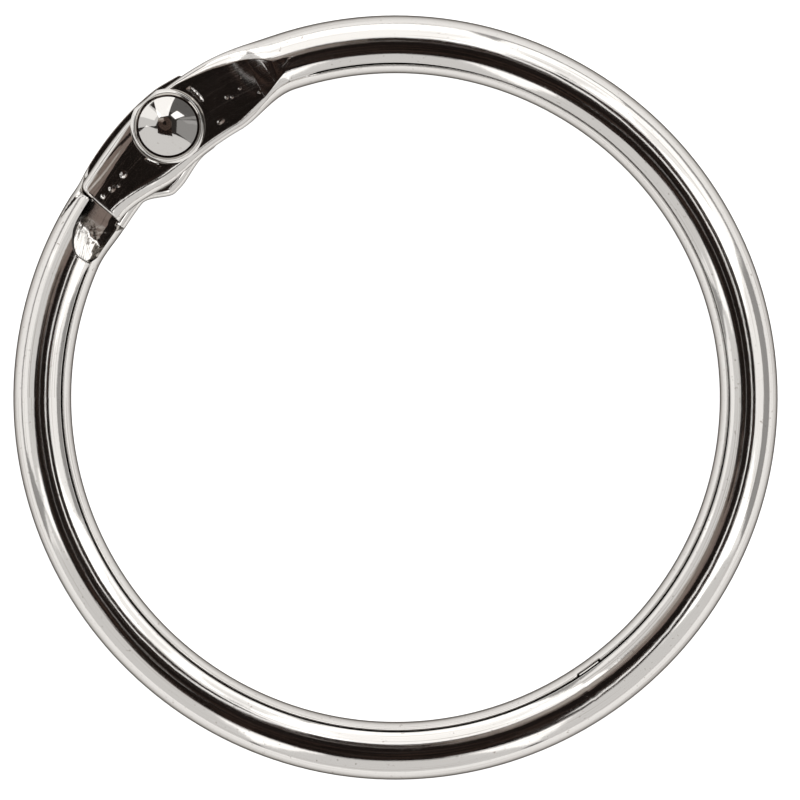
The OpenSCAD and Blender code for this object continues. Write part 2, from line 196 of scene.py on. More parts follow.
# Dents in the front flat: place along and across from the rivet, radii along and across, depth
DENTS = [
    (-1.93, -0.065, 0.13, 0.115, 0.024), (-2.46, -0.045, 0.13, 0.12, 0.013),
    (-2.80, 0.03, 0.075, 0.09, 0.020), (-2.27, -0.16, 0.06, 0.05, 0.012),
    (1.92, -0.28, 0.06, 0.06, 0.012), (2.06, -0.35, 0.05, 0.05, 0.010),
    (2.39, -0.23, 0.05, 0.05, 0.010), (2.89, -0.58, 0.055, 0.055, 0.013),
    (1.38, -0.79, 0.16, 0.09, 0.012), (2.55, 0.05, 0.04, 0.04, 0.006),
]
# Burrs that the riveting die left beside the collar: radius, first and last angle, height
DIE_MARKS = [(1.25, -2, 27, 0.020), (1.165, 192, 213, 0.018), (1.24, 215, 225, 0.012)]
DIE_MARK_W = 0.05
DIE_MARK_FADE = 4             # how many degrees its ends take to run out


def dent(u, x):
    """How far the dents lower the flat at u, across x."""
    low = np.zeros_like(x)
    for at, across, long_r, wide_r, depth in DENTS:
        d2 = ((u - at) / long_r) ** 2 + ((x - across) / wide_r) ** 2
        low += depth * np.clip(1 - d2, 0, None) ** 2
    return low


def die_marks(u, x):
    """How far the riveting die's burrs stand up from the flat at u, across x."""
    high = np.zeros_like(x)
    from_rivet, turn = np.hypot(u, x), (np.degrees(np.arctan2(x, u)) + 90) % 360 - 90
    for radius, first, last, height in DIE_MARKS:
        within = np.clip(np.minimum(turn - first, last - turn) / DIE_MARK_FADE, 0, 1)
        high += height * within * np.clip(1 - np.abs(from_rivet - radius) / DIE_MARK_W, 0, 1)
    return high


def fold_burrs(u, x):
    """How far the burrs along the two folds stand up at u, across x."""
    past_corner = x + FOLD_CORNER
    gentle = np.abs(u - FOLD_AT + FOLD_SLOPES[0] * past_corner)
    steep = np.abs(u - FOLD_AT - FOLD_SLOPES[1] * past_corner) / FOLD_STEEPER
    ridge = FOLD_RIDGE * np.clip(1 - np.minimum(gentle, steep) / FOLD_RIDGE_W, 0, 1)
    return ridge * (past_corner > -0.02) * np.clip(6 - 9 * past_corner, 0, 1)


def hood_lean(t, u, x, rolled):
    """How far the hood's outer side leans down, from a soft bend to its rim."""
    shelf = eased(u, -0.7, -1.0) * eased(u, -2.1, -1.7) * np.clip(x - SHELF_AT, 0, SHELF_W)
    from_bend = np.clip(x - shelf - mix(*HOOD_BEND, share(u, -1.0, -2.4)), 0, 0.55)
    wander = x * 21 + 1.3 * u + 1.1 * math.sin(2.1 * u)
    ripple = 0.0030 * np.sin(wander) + 0.0012 * np.sin(2.7 * wander - 3.1 * u)
    lean = HOOD_LEAN * from_bend ** 2 / (from_bend + HOOD_BEND_SOFT) \
        + ripple * np.clip(from_bend / HOOD_BEND_SOFT, 0, 1)
    upper = np.where(t > 45, np.clip((135 - t) / 20, 0, 1), np.clip(np.sin(np.radians(2 * t)), 0, 1))
    return rolled * upper * np.where(t <= 135, lean, 0)


def front_section(t, u, drop_full):
    """The front half's section, from the round tube through the pressed flat to the hood."""
    drop_i = FOLD_DROP * share(u, FLAT_START, FOLD_AT) \
        + (drop_full - FOLD_DROP) * share(u, FOLD_AT, FLAT_FULL)
    drop_o = mix(FLAT_BITE * share(u, FLAT_START + 0.2, FLAT_START), drop_full, eased(u, *OUTER_DROPS))
    rolled = eased(u, *HOOD_ROLLS)
    out = mix(FLAT_OUT, HOOD_OUT, eased(u, 0.2, -HOOD_REACH)) - corner(u + HOOD_REACH, HOOD_CORNER)
    inn = mix(FLAT_IN, HOOD_IN, eased(u, -0.8, -HOOD_REACH))
    edge_o = mix(mix(*FLAT_EDGE_OUT, share(u, 0.9, 3.0)), HOOD_RIM, rolled)
    edge_i = mix(*FLAT_EDGE_IN, eased(u, 0.4, -1.0))
    bottom = LAP_Z + LAP_PLAY
    top = 2 * TUBE_R - drop_full - corner(u + HOOD_REACH, HOOD_NOSE)
    middle = mix((top + bottom) / 2, bottom + (top - bottom) * 0.25, rolled)
    flat = pressed(t, out, inn, edge_o, edge_i, top, bottom, middle)
    points = mix(cut_round(t, drop_o, drop_i), flat, eased(u, *FRONT_WIDENS))
    x = points[:, 0]
    inside = np.clip(np.minimum(t - 45, 135 - t) / 8, 0, 1)
    points[:, 1] += inside * (fold_burrs(u, x) + die_marks(u, x) - dent(u, x))
    points[:, 1] -= hood_lean(t, u, x, rolled)
    return points


# Rear half. Stations u run along it from the rivet, up towards its tube and down to the tongue's tip.
TONGUE_REACH = 1.16
TONGUE_OUT = (1.11, 0.83)     # how far out the tongue reaches, beside the rivet and at the dish
TIP_DRAWS_IN = 0.07           # how much narrower its outer side is at its tip
TIP_CORNERS = (0.5, 0.12)     # radii of the tip's inner and outer corner
TONGUE_IN, HEEL_IN = 1.3, 1.54        # how far in the tongue and its heel reach
HEEL_ENDS = (1.25, 2.3)       # where the heel starts to draw in again, and where it has
TONGUE_EDGE_OUT = (0.02, 0.5)         # width of its outer edge, at the rivet and at the dish
TONGUE_EDGE_IN = 0.27
SWELL = 0.14                  # how far the half stands in past the tube beyond its heel
DISH_START = 4.77
DISH_END = 3.28               # where the swell is full
# The dish's outer crest: stations, and its place round the section there, in degrees
CREST_SIDE = ([3.82, 4.06, 4.335, 4.59], [69, 71.5, 77.8, 87.3])
CREST_ROUND = 0.5             # how far its blunt end is rounded
LIP_TURNS = 12                # how far the inner lip turns down, in degrees, and over what length
LIP_RUN = 0.32
WALL_O = 0.06                 # how far the outer wall's foot stands in from its crest
WALL_I = (0.07, 0.13)         # the same for the inner wall, where it is steep and where it leans
LEDGE_U = (3.0, 3.95)         # the crease pressed into the dish's outer flank: where it starts and
LEDGE_X = (0.60, 0.77)        # ends, how far out it lies there, and its width at its start
LEDGE_W = 0.10
RAMP_FOOT = (3.78, 4.18)      # where the dish's straight ramp ends, beside its outer and inner walls,
RAMP_DONE = 0.94              # and the share of its fall done there
RAMP_TOP_OUT = 1.34           # the heights from which it falls, beside the outer wall and the inner one
RAMP_TOP_IN = 1.30
FOOT_END = 3.55               # where the floor is all the way down
CANT = 0.085                  # how steeply the floor leans down to the outer wall, from CANT_FROM of
CANT_FROM = 0.76              # its width
PLEAT = 0.0016                # heights of the rucks in the dish
LUMP = 0.0036
CREASES_MEET = (3.95, 0.52)   # the creases up the ramp: where they meet, along and across, and each
# one's place across the ramp's top, its half width and its depth
CREASES = ((0.22, 0.03, 0.005), (0.43, 0.022, 0.006), (0.60, 0.035, 0.007), (0.80, 0.04, 0.009))
# The dish's walls: angles round the section, where each part starts coming down, and where it is down
WALLS = np.array([
    (-45, 3.74, 3.28), (0, 3.3, 2.5), (18, 3.3, 2.5), (34, 3.06, 2.99), (54, 3.10, 3.03), (60, 3.0, 2.75),
    (120, 3.0, 2.75), (126, 3.50, 3.23), (135, 3.50, 3.23), (150, 3.40, 3.23), (180, 3.31, 3.23),
    (225, 3.74, 3.28),
]).T
LIP_WALL = 9.0                # share of the section's angle taken by each wall, in degrees
# Each wall's columns draw together where the wall has come down to the flat
FLAT_FROM = (-45, 45, 45 + LIP_WALL, 135 - LIP_WALL, 135, 315)
FLAT_TO = (-45, 45, 50.4, 132.75, 135, 315)    # they keep 6 % and 2.5 % of the flat's width


def rear_flat(t, u, rise):
    """The rear tongue, pressed between the lap and a flat that stands rise above the floor."""
    nip_in, nip_out = (corner(u + TONGUE_REACH, r) for r in TIP_CORNERS)
    out = mix(*TONGUE_OUT, share(u, -0.2, 3.1) ** 1.6) - TIP_DRAWS_IN * eased(u, -0.3, -TONGUE_REACH)
    inn = mix(mix(TONGUE_IN, HEEL_IN, eased(u, -0.4, 1.05)), TUBE_R + SWELL, eased(u, *HEEL_ENDS))
    edge_o = mix(*TONGUE_EDGE_OUT, eased(u, 2.3, 3.1))
    top = LAP_Z - LAP_PLAY
    t = np.interp(t, FLAT_FROM, FLAT_TO)
    return pressed(t, out - nip_out, inn - nip_in, edge_o, TONGUE_EDGE_IN, top, rise, (top + rise) / 2)


def ramp_foot(across):
    """Where the ramp ends: a ragged line that runs askew."""
    return mix(*RAMP_FOOT, across) + 0.03 * np.sin(13 * across + 0.6) + 0.006 * np.sin(31 * across)


def ramp(u, across):
    """How far the dish's floor has sunk: a straight ramp, then a gentler one to its foot."""
    foot = ramp_foot(across)
    return RAMP_DONE * np.clip((DISH_START - u) / (DISH_START - foot), 0, 1) \
        + (1 - RAMP_DONE) * np.clip((foot - u) / (foot - FOOT_END), 0, 1)


def wrinkles(u, across):
    """The dish's floor is rucked where the strip was driven in: long pleats down the ramp that break up
    into small lumps at its foot."""
    pleats = np.sin(across * 19 + 0.8 * u) + 0.7 * np.sin(across * 33 + 1.3 + 1.7 * u) \
        + 0.5 * np.sin(across * 51 + 2.1 - 2.3 * u)
    lumps = np.sin(across * 14 + 9 * u) * np.sin(23 * u + 1.1 + 3 * across) \
        + 0.6 * np.sin(across * 29 - 31 * u) * np.sin(17 * u + 2.0 - 7 * across)
    past_foot = u - ramp_foot(across)
    on_ramp = share(u, DISH_START, DISH_START - 0.25) * np.clip((past_foot + 0.2) / 0.3, 0, 1)
    at_foot = eased(u, FOOT_END - 0.05, FOOT_END + 0.2) * np.clip(1.3 - past_foot / 0.2, 0, 1)
    edges = np.clip(6 * across, 0, 1) * np.clip(6 * (1 - across), 0, 1)
    return edges * (PLEAT * on_ramp * pleats + LUMP * at_foot * lumps - creases(u, across))


def creases(u, across):
    """Sharp creases that fan out up the ramp from one point at its foot."""
    low = np.zeros_like(across)
    up = (u - CREASES_MEET[0]) / (DISH_START - CREASES_MEET[0])
    for top, width, depth in CREASES:
        off = (across - mix(CREASES_MEET[1], top, up)) / width
        low += depth * np.exp(-off ** 2) * share(up, 0.02, 0.3) * share(up, 1.0, 0.85)
    return low


def dish_crest(u):
    """Where the dish's outer crest runs, in degrees round the section: straight, then in, then blunt."""
    rounding = share(u, DISH_START - CREST_ROUND, DISH_START)
    return mix(SEAM_AT - 1.0, np.interp(u, *CREST_SIDE), math.sqrt(1 - rounding ** 5))


def swelled(points, u):
    """The tube's inner side stands in further and further towards the heel."""
    growth = mix(1, 1 + SWELL / TUBE_R, eased(u, DISH_START, DISH_END))
    return np.stack([np.where(points[:, 0] < 0, points[:, 0] * growth, points[:, 0]), points[:, 1]], axis=1)


def ledged(points, u):
    """The crease pressed into the dish's outer flank: a strip of it made level."""
    start = mix(*LEDGE_X, share(u, *LEDGE_U))
    end = start + LEDGE_W * (1 - share(u, *LEDGE_U)) ** 0.6
    ledge_z = TUBE_R + math.sqrt(TUBE_R ** 2 - end ** 2)
    on_ledge = (points[:, 0] > start) & (points[:, 0] < end) & (points[:, 1] > TUBE_R)
    return np.stack([points[:, 0], np.where(on_ledge, ledge_z, points[:, 1])], axis=1)


def dished(t, u, parting=0.0):
    """The round tube, whose front between a crest and an inner lip is pushed down to the lap."""
    crest = SEAM_AT - parting if u >= DISH_START else dish_crest(u)
    lip = SEAM_AT + LIP_TURNS * eased(u, DISH_START, DISH_START - LIP_RUN)
    a = np.where(t <= 45, mix(-45, crest, (t + 45) / 90),
                 np.where(t <= 135, lip - parting,
                          np.where(t <= 225, mix(lip + parting, 225, (t - 135) / 90), t)))
    points = swelled(on_circle(a), u)
    if u >= DISH_START:
        return points
    points = ledged(points, u)
    crest_point, lip_point = swelled(on_circle(np.array([crest, lip])), u)
    width = crest_point[0] - lip_point[0]
    leaning = eased(u, 3.85, 4.15) + eased(u, 3.45, 3.3)
    wall_o, wall_i = min(WALL_O, 0.3 * width), min(mix(*WALL_I, leaning), 0.3 * width)
    across = np.clip((t - 45 - LIP_WALL) / (90 - 2 * LIP_WALL), 0, 1)
    x = mix(crest_point[0] - wall_o, lip_point[0] + wall_i, across)
    chord = mix(crest_point[1], lip_point[1], across)
    foot = LAP_Z - LAP_PLAY - CANT * width * np.clip(CANT_FROM - across, 0, 1)
    plane = mix(mix(RAMP_TOP_OUT, RAMP_TOP_IN, across), foot, ramp(u, across))
    floor = np.stack([x, np.minimum(chord - 0.004, plane + wrinkles(u, across))], axis=1)
    up_outer = np.clip((t - 45) / LIP_WALL, 0, 1)[:, None]
    up_inner = np.clip((135 - t) / LIP_WALL, 0, 1)[:, None]
    floor = crest_point * (1 - up_outer) + floor * up_outer
    floor = lip_point * (1 - up_inner) + floor * up_inner
    return np.where(((t > 45) & (t < 135))[:, None], floor, points)


def rear_section(t, u, rise):
    """The dish turning into the flat tongue: its walls stand until just before the hood's end."""
    stands, down = (np.interp(np.where(t > 225, t - 360, t), WALLS[0], row) for row in WALLS[1:])
    fall = np.clip((stands - u) / (stands - down), 0, 1)
    sunk = fall * fall * (3 - 2 * fall)
    return mix(dished(t, u), rear_flat(t, u, rise), sunk[:, None])


# ---- the seam ------------------------------------------------------------------------------------

FILLET_STEPS = 5
BORE_STEPS = 44
NEARLY_SHUT = 0.03    # share of its width that the seam keeps until it closes into the skin
SEAM_PINCH = 0.35     # share of the front seam's width that is left along its middle
MOUTH_LEN = 0.86      # the socket's mouth: its length along the seam, how soon it opens out, and
MOUTH_EDGE = 0.03     # its half width on the seam's inner side
MOUTH_IN = 0.125


def seam_lip(half_gap, fillet, depth_r, side, open_share):
    """One lip of the seam, from the groove's bottom up to the tube's skin, with a rounded edge.
    side is 1 for the lip on the ring's inner side and -1 for the other. open_share closes it."""
    g, f = half_gap * open_share, fillet * open_share
    d = np.array([math.cos(math.radians(SEAM_AT)), math.sin(math.radians(SEAM_AT))])
    n = np.array([-d[1], d[0]]) * side
    rho = math.sqrt(max((TUBE_R - f) ** 2 - (g + f) ** 2, 0))
    tilt = math.atan2(g + f, rho)
    centre = rho * d + (g + f) * n
    turn = np.linspace(math.pi / 2, -tilt, FILLET_STEPS)[:, None]
    # the fillet turns from facing the groove to facing straight out of the tube
    arc = centre - f * np.sin(turn) * n + f * np.cos(turn) * d
    bottom = mix(TUBE_R, depth_r, open_share)
    foot = bottom * d + g * n
    return np.vstack([foot, arc]) + np.array([0, TUBE_R]), math.degrees(tilt)


def outer_path(columns, gap, fillet, open_share, section, inner_gap=None):
    """The outer skin's section, from the seam's inner lip all the way round to its other lip."""
    lip_b, parting = seam_lip(inner_gap or gap / 2, fillet, BORE_R, 1, open_share)
    lip_a, _ = seam_lip(gap / 2, fillet, BORE_R, -1, open_share)
    skin = section(columns, parting if open_share > 0 else 0.0)
    if open_share <= 0:  # the groove has closed: its points meet in one point of the skin
        lip_a = lip_b = np.repeat(skin[:1], FILLET_STEPS + 1, axis=0)
    return np.vstack([lip_b, skin[1:-1], lip_a[::-1]])


def inner_path(gap, count, inner_gap=None):
    """The tube's bore, from the seam's outer lip back to its inner lip, without its two ends."""
    half_a = math.degrees(math.asin(gap / 2 / BORE_R))
    half_b = math.degrees(math.asin((inner_gap or gap / 2) / BORE_R))
    angles = np.linspace(SEAM_AT - half_a, SEAM_AT + half_b - 360, count + 2)[1:-1]
    return on_circle(angles, BORE_R)


def ribbed(turn, r, rise):
    """A circle of radius r that stands out by rise at each of its angles."""
    a = np.radians(turn)
    return np.stack([(r + rise) * np.cos(a), TUBE_R + (r + rise) * np.sin(a)], axis=1)


def closed(*parts):
    """A row of points that runs through the parts and back to its first point."""
    return np.vstack([*parts, parts[0][:1]])


def placed(section, u, side):
    """Places a section's points round the ring, in metres. side is 1 for the rear half and -1 for the
    front one."""
    a = np.radians(HINGE_AT + side * u * DEG_PER_MM)
    r = RING_R + section[:, 0]
    return np.stack([r * np.cos(a), r * np.sin(a), section[:, 1]], axis=1) * MM


# ---- modelling helpers ---------------------------------------------------------------------------


def deselect():
    """Leaves edit mode and selects nothing."""
    if bpy.context.object and bpy.context.object.mode != "OBJECT":
        bpy.ops.object.mode_set(mode="OBJECT")
    bpy.ops.object.select_all(action="DESELECT")


WELD = 2e-7           # points closer than this are one point, in metres


def blank(name, rows):
    """A flat blank with as many columns and rows as the sections have, rolled to their shape."""
    rows = np.asarray(rows)
    deselect()
    bpy.ops.mesh.primitive_grid_add(x_subdivisions=rows.shape[1] - 1, y_subdivisions=rows.shape[0] - 1,
                                    size=0.01)
    obj = bpy.context.object
    obj.name = name
    if len(obj.data.vertices) != rows.shape[0] * rows.shape[1]:
        raise RuntimeError(f"{name}: the blank has {len(obj.data.vertices)} points, not {rows.shape}")
    obj.data.vertices.foreach_set("co", rows.reshape(-1).astype(np.float32))
    obj.data.update()
    return obj


def joined(name, parts):
    """Joins the blanks into one piece, welds them where they meet and closes what is open."""
    deselect()
    for p in parts:
        p.select_set(True)
    bpy.context.view_layer.objects.active = parts[0]
    bpy.ops.object.join()
    obj = bpy.context.object
    obj.name = obj.data.name = name
    bpy.ops.object.mode_set(mode="EDIT")
    bpy.ops.mesh.select_all(action="SELECT")
    bpy.ops.mesh.remove_doubles(threshold=WELD)
    bpy.ops.mesh.dissolve_degenerate(threshold=WELD)
    bpy.ops.mesh.select_all(action="SELECT")
    bpy.ops.mesh.fill_holes(sides=0)
    bpy.ops.mesh.select_all(action="SELECT")
    bpy.ops.mesh.normals_make_consistent(inside=False)
    bpy.ops.object.mode_set(mode="OBJECT")
    return obj


def finished(obj, material, body, node, crease=30):
    """Shades a piece, gives it its material, and hands it to its CAD body in place of its node."""
    deselect()
    obj.select_set(True)
    bpy.context.view_layer.objects.active = obj
    bpy.ops.object.shade_smooth_by_angle(angle=math.radians(crease))
    obj.data.materials.clear()
    obj.data.materials.append(material)
    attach(obj, body)
    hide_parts(node)
    return obj


def spread(*stops):
    """Numbers from the first stop to the last, with a count of steps between each two."""
    out = []
    for (a, n), (b, _) in zip(stops, stops[1:]):
        out += list(np.linspace(a, b, n, endpoint=False))
    return np.array(out + [stops[-1][0]])


# ---- materials -----------------------------------------------------------------------------------


class Wire:
    """A node's socket, with arithmetic that adds Math nodes."""

    def __init__(self, tree, socket):
        self.tree, self.socket = tree, socket

    def math(self, operation, *others):
        node = self.tree.nodes.new("ShaderNodeMath")
        node.operation = operation
        for slot, value in zip(node.inputs, (self, *others)):
            plug(self.tree, slot, value)
        return Wire(self.tree, node.outputs[0])

    def __add__(self, other):
        return self.math("ADD", other)

    __radd__ = __add__

    def __mul__(self, other):
        return self.math("MULTIPLY", other)

    __rmul__ = __mul__

    def __sub__(self, other):
        return self.math("SUBTRACT", other)

    def __rsub__(self, other):
        return (self * -1) + other


def plug(tree, slot, value):
    """Links a wire to a node's socket, or sets the socket's value."""
    if isinstance(value, Wire):
        tree.links.new(value.socket, slot)
    elif value is not None:
        slot.default_value = value


class Shader:
    """A material's node tree, to which nodes are added by one method."""

    def __init__(self, name):
        self.material = bpy.data.materials.new(name)
        self.material.use_nodes = True
        self.tree = self.material.node_tree
        self.tree.nodes.clear()

    def node(self, kind, settings=None, sockets=None, out=0):
        """Adds a node, applies its settings, then sets or links its sockets. Returns one of its outputs."""
        made = self.tree.nodes.new(kind)
        for key, value in (settings or {}).items():
            setattr(made, key, value)
        for key, value in (sockets or {}).items():
            plug(self.tree, made.inputs[key], value)
        return Wire(self.tree, made.outputs[out]) if made.outputs else None

    def finish(self, bsdf):
        """Puts the shader on the material's surface."""
        self.node("ShaderNodeOutputMaterial", sockets={"Surface": bsdf})
        return self.material


# Painted shade: the plating's grazing tint is near black, so its rims seen edge on show a dark outline that
# stands in for the reflected contact shade beside the ring.
EDGE_PAINTED_SHADE = (0.06, 0.055, 0.05)    # the plating's colour where it is seen edge on


def ring_places(shader):
    """Object coordinates, and each point's place along and round the tube and its height, in
    millimetres."""
    place = shader.node("ShaderNodeTexCoord", out=3)
    split = shader.node("ShaderNodeSeparateXYZ", sockets={0: place})
    x, y, z = (Wire(shader.tree, split.socket.node.outputs[i]) * 1000.0 for i in range(3))
    radius = (x * x + y * y).math("SQRT")
    along = y.math("ARCTAN2", x) * RING_R
    around = (z - TUBE_R).math("ARCTAN2", radius - RING_R) * TUBE_R
    return place, along, around, z


def bright_plating(name, colour, tarnish, gloss, wear, drawn=1.0):
    """Bright nickel over rolled strip: faint drawn streaks along the tube, a slight swell from the
    rolls, small pits, and a haze of tarnish in places. Its near-black grazing tint paints a dark rim
    where the metal is seen edge on: painted shade."""
    shader = Shader(name)
    place, along, around, z = ring_places(shader)
    lengthwise = shader.node("ShaderNodeCombineXYZ",
                             sockets={0: along * 0.09, 1: around * 11.0, 2: z * 1.0})
    streaks = shader.node("ShaderNodeTexNoise", sockets={"Vector": lengthwise, "Scale": 1.6,
                                                         "Detail": 3.0, "Roughness": 0.6})
    lines_at = shader.node("ShaderNodeCombineXYZ",
                           sockets={0: along * 0.12, 1: around * 17.0 + 40.0, 2: z * 2.0})
    lines = shader.node("ShaderNodeTexNoise", sockets={"Vector": lines_at, "Scale": 1.3, "Detail": 2.0})
    line_dirt = shader.node("ShaderNodeMapRange", {"interpolation_type": "SMOOTHSTEP"},
                            {"Value": lines, "From Min": 0.55, "From Max": 0.78, "To Max": 0.75 * drawn})
    swell_at = shader.node("ShaderNodeVectorMath", {"operation": "SCALE"}, {0: place, "Scale": 1000.0})
    swell = shader.node("ShaderNodeTexNoise", sockets={"Vector": swell_at, "Scale": 0.9, "Detail": 1.0})
    specks = shader.node("ShaderNodeTexNoise", sockets={"Vector": swell_at, "Scale": 9.0, "Detail": 2.0})
    speck_dirt = shader.node("ShaderNodeMapRange", {"interpolation_type": "SMOOTHSTEP"},
                             {"Value": specks, "From Min": 0.64, "From Max": 0.80, "To Max": wear})
    dirt = speck_dirt.math("MAXIMUM", line_dirt * wear)
    tone = shader.node("ShaderNodeMix", {"data_type": "RGBA"},
                       {"Factor": dirt, "A": (*colour, 1), "B": (*tarnish, 1)}, out=2)
    rough = gloss + streaks * 0.04 + dirt * 0.25
    bump_height = streaks * (0.0014 * drawn) + swell * 0.010 + specks * 0.0004
    bump = shader.node("ShaderNodeBump", sockets={"Height": bump_height, "Distance": MM, "Strength": 1.0})
    # The specular tint paints a dark rim where the metal is seen edge on: painted shade.
    bsdf = shader.node("ShaderNodeBsdfPrincipled",
                       sockets={"Base Color": tone, "Metallic": 1.0, "Roughness": rough, "Normal": bump,
                                "Specular Tint": (*EDGE_PAINTED_SHADE, 1)})
    return shader.finish(bsdf)


def matte_floor(colour, glow):
    """White paper over a light table."""
    shader = Shader("floor_paper")
    place = shader.node("ShaderNodeTexCoord", out=3)
    grain = shader.node("ShaderNodeTexNoise", sockets={"Vector": place, "Scale": 900.0, "Detail": 2.0})
    tone = shader.node("ShaderNodeMix", {"data_type": "RGBA"},
                       {"Factor": grain, "A": (*[c * 0.99 for c in colour], 1), "B": (*colour, 1)}, out=2)
    bsdf = shader.node("ShaderNodeBsdfPrincipled",
                       sockets={"Base Color": tone, "Roughness": 0.9, "Specular IOR Level": 0.1,
                                "Emission Color": (1, 1, 1, 1), "Emission Strength": glow})
    return shader.finish(bsdf)


def card_material(name, colour, stain):
    """Dark cloth with paler stains."""
    shader = Shader(name)
    place = shader.node("ShaderNodeTexCoord", out=3)
    cloudy = shader.node("ShaderNodeTexNoise", sockets={"Vector": place, "Scale": 26.0, "Detail": 1.0})
    stained = shader.node("ShaderNodeMapRange", {"interpolation_type": "SMOOTHSTEP"},
                          {"Value": cloudy, "From Min": 0.46, "From Max": 0.66})
    tone = shader.node("ShaderNodeMix", {"data_type": "RGBA"},
                       {"Factor": stained, "A": (*colour, 1), "B": (*stain, 1)}, out=2)
    bsdf = shader.node("ShaderNodeBsdfPrincipled",
                       sockets={"Base Color": tone, "Roughness": 1.0, "Specular IOR Level": 0.0})
    return shader.finish(bsdf)


# ---- pieces --------------------------------------------------------------------------------------


HORN_TOP = 4.3        # where the front half's pressed end starts, past the end of its seam
FRONT_CLOSES = (4.35, 4.9)    # where the front seam has closed, and where it starts to close
PINCH = (7, 11, 6, 12)        # where it starts to narrow and is narrow, from the rivet and from its end

# The nose, out along its skin, round its tip and back through its bore: place past the tube's end, radius
NOSE = ((-0.6, 0.60), (-0.1, 0.60), (-0.1, 0.55), (0.05, 0.55), (0.09, 0.55), (0.3, 0.55), (0.6, 0.55),
        (0.80, 0.53), (0.84, 0.47), (0.88, 0.41), (0.88, 0.31), (0.6, 0.30), (-0.6, 0.30), (-0.6, 0.60))
RIB_R = 0.80          # how far the nose's rib stands out from the tube's centre line
RIB_U = (0.05, 0.82)  # where along the nose it stands
RIB_AT = 5.5          # how far round from the seam its middle lies, and its half width, in degrees
RIB_W = 4.2


class RING_OT_front_half(bpy.types.Operator):
    """Rolls the front half, presses its flat and hood, and necks its nose"""
    bl_idname = "ring.front_half"
    bl_label = "Front half"

    def execute(self, context):
        size, looks = context.scene.ring_sizes, context.scene.ring_looks
        gap, fillet, drop = (v / MM for v in (size.seam_gap, size.lip_round, size.front_drop))
        columns = np.concatenate([spread((SEAM_COLUMN, 26), (225, 30), (315, 1))[:-1],
                                  spread((-45, 44), (45, 64), (135, 14), (SEAM_COLUMN, 1))])
        u_end = (HINGE_AT + 360 - CLOSURE_AT) / DEG_PER_MM
        closed_at, close_at = FRONT_CLOSES

        def gap_at(u):
            """The seam is nearly shut along the middle of the half."""
            start, full, end, end_full = PINCH
            narrow = eased(u, u_end - end, u_end - end_full) * eased(u, start, full)
            return gap * mix(1.0, SEAM_PINCH, narrow)

        def skin(u):
            if u > HORN_TOP:
                share_open = max(eased(u, closed_at, close_at), NEARLY_SHUT)
                return outer_path(columns, gap_at(u), fillet, share_open,
                                  lambda t, p: cut_round(t, 0.0, 0.0, p))
            return outer_path(columns, gap, fillet, 0, lambda t, p: front_section(t, u, drop))

        tube_at = np.concatenate([np.linspace(u_end, 5.2, 84), np.linspace(5.1, close_at, 3)])
        tube = blank("front_tube", [placed(closed(skin(u), inner_path(gap_at(u), BORE_STEPS)), u, -1)
                                    for u in tube_at])
        horn_at = np.concatenate([
            np.linspace(close_at, HORN_TOP + 0.001, 14), np.linspace(HORN_TOP, 3.52, 26),
            np.linspace(3.49, 3.43, 7), np.linspace(3.40, 1.2, 88), np.linspace(1.15, -0.6, 30),
            np.linspace(-0.62, -HOOD_REACH + 0.22, 112),
            -HOOD_REACH + HOOD_CORNER * (1 - np.sin(np.linspace(0.05, math.pi / 2, 16)))])
        rows = [closed(skin(u)) for u in horn_at]
        rows.append(np.tile(np.mean(rows[-1], axis=0), (len(rows[-1]), 1)))    # closes the hood's end
        horn_at = np.append(horn_at, -HOOD_REACH)
        horn = blank("front_horn", [placed(row, u + HOOD_SKEW * row[:, 0] * eased(u, -1.6, -HOOD_REACH), -1)
                                    for row, u in zip(rows, horn_at)])
        piece = joined("front_ring", [tube, horn, self.nose(u_end)])
        finished(piece, bright_plating("front_plating", looks.plating, looks.tarnish, looks.gloss, 0.5),
                 "front_half", "front_half_ring")
        return {"FINISHED"}

    def nose(self, u_end):
        """The necked nose, with a rib along the seam that shows in the socket's open mouth."""
        turn = np.linspace(0, 360, 97)
        across = (turn - (SEAM_AT + RIB_AT)) / RIB_W
        rib = np.clip(1.4 - across ** 2 * 1.4, 0, 1)
        rows = []
        for u, r in NOSE:
            stands = RIB_R - r if RIB_U[0] < u < RIB_U[1] and r > 0.5 else 0.0
            rows.append(placed(ribbed(turn, r, rib * stands), u_end + u, -1))
        return blank("front_nose", rows)


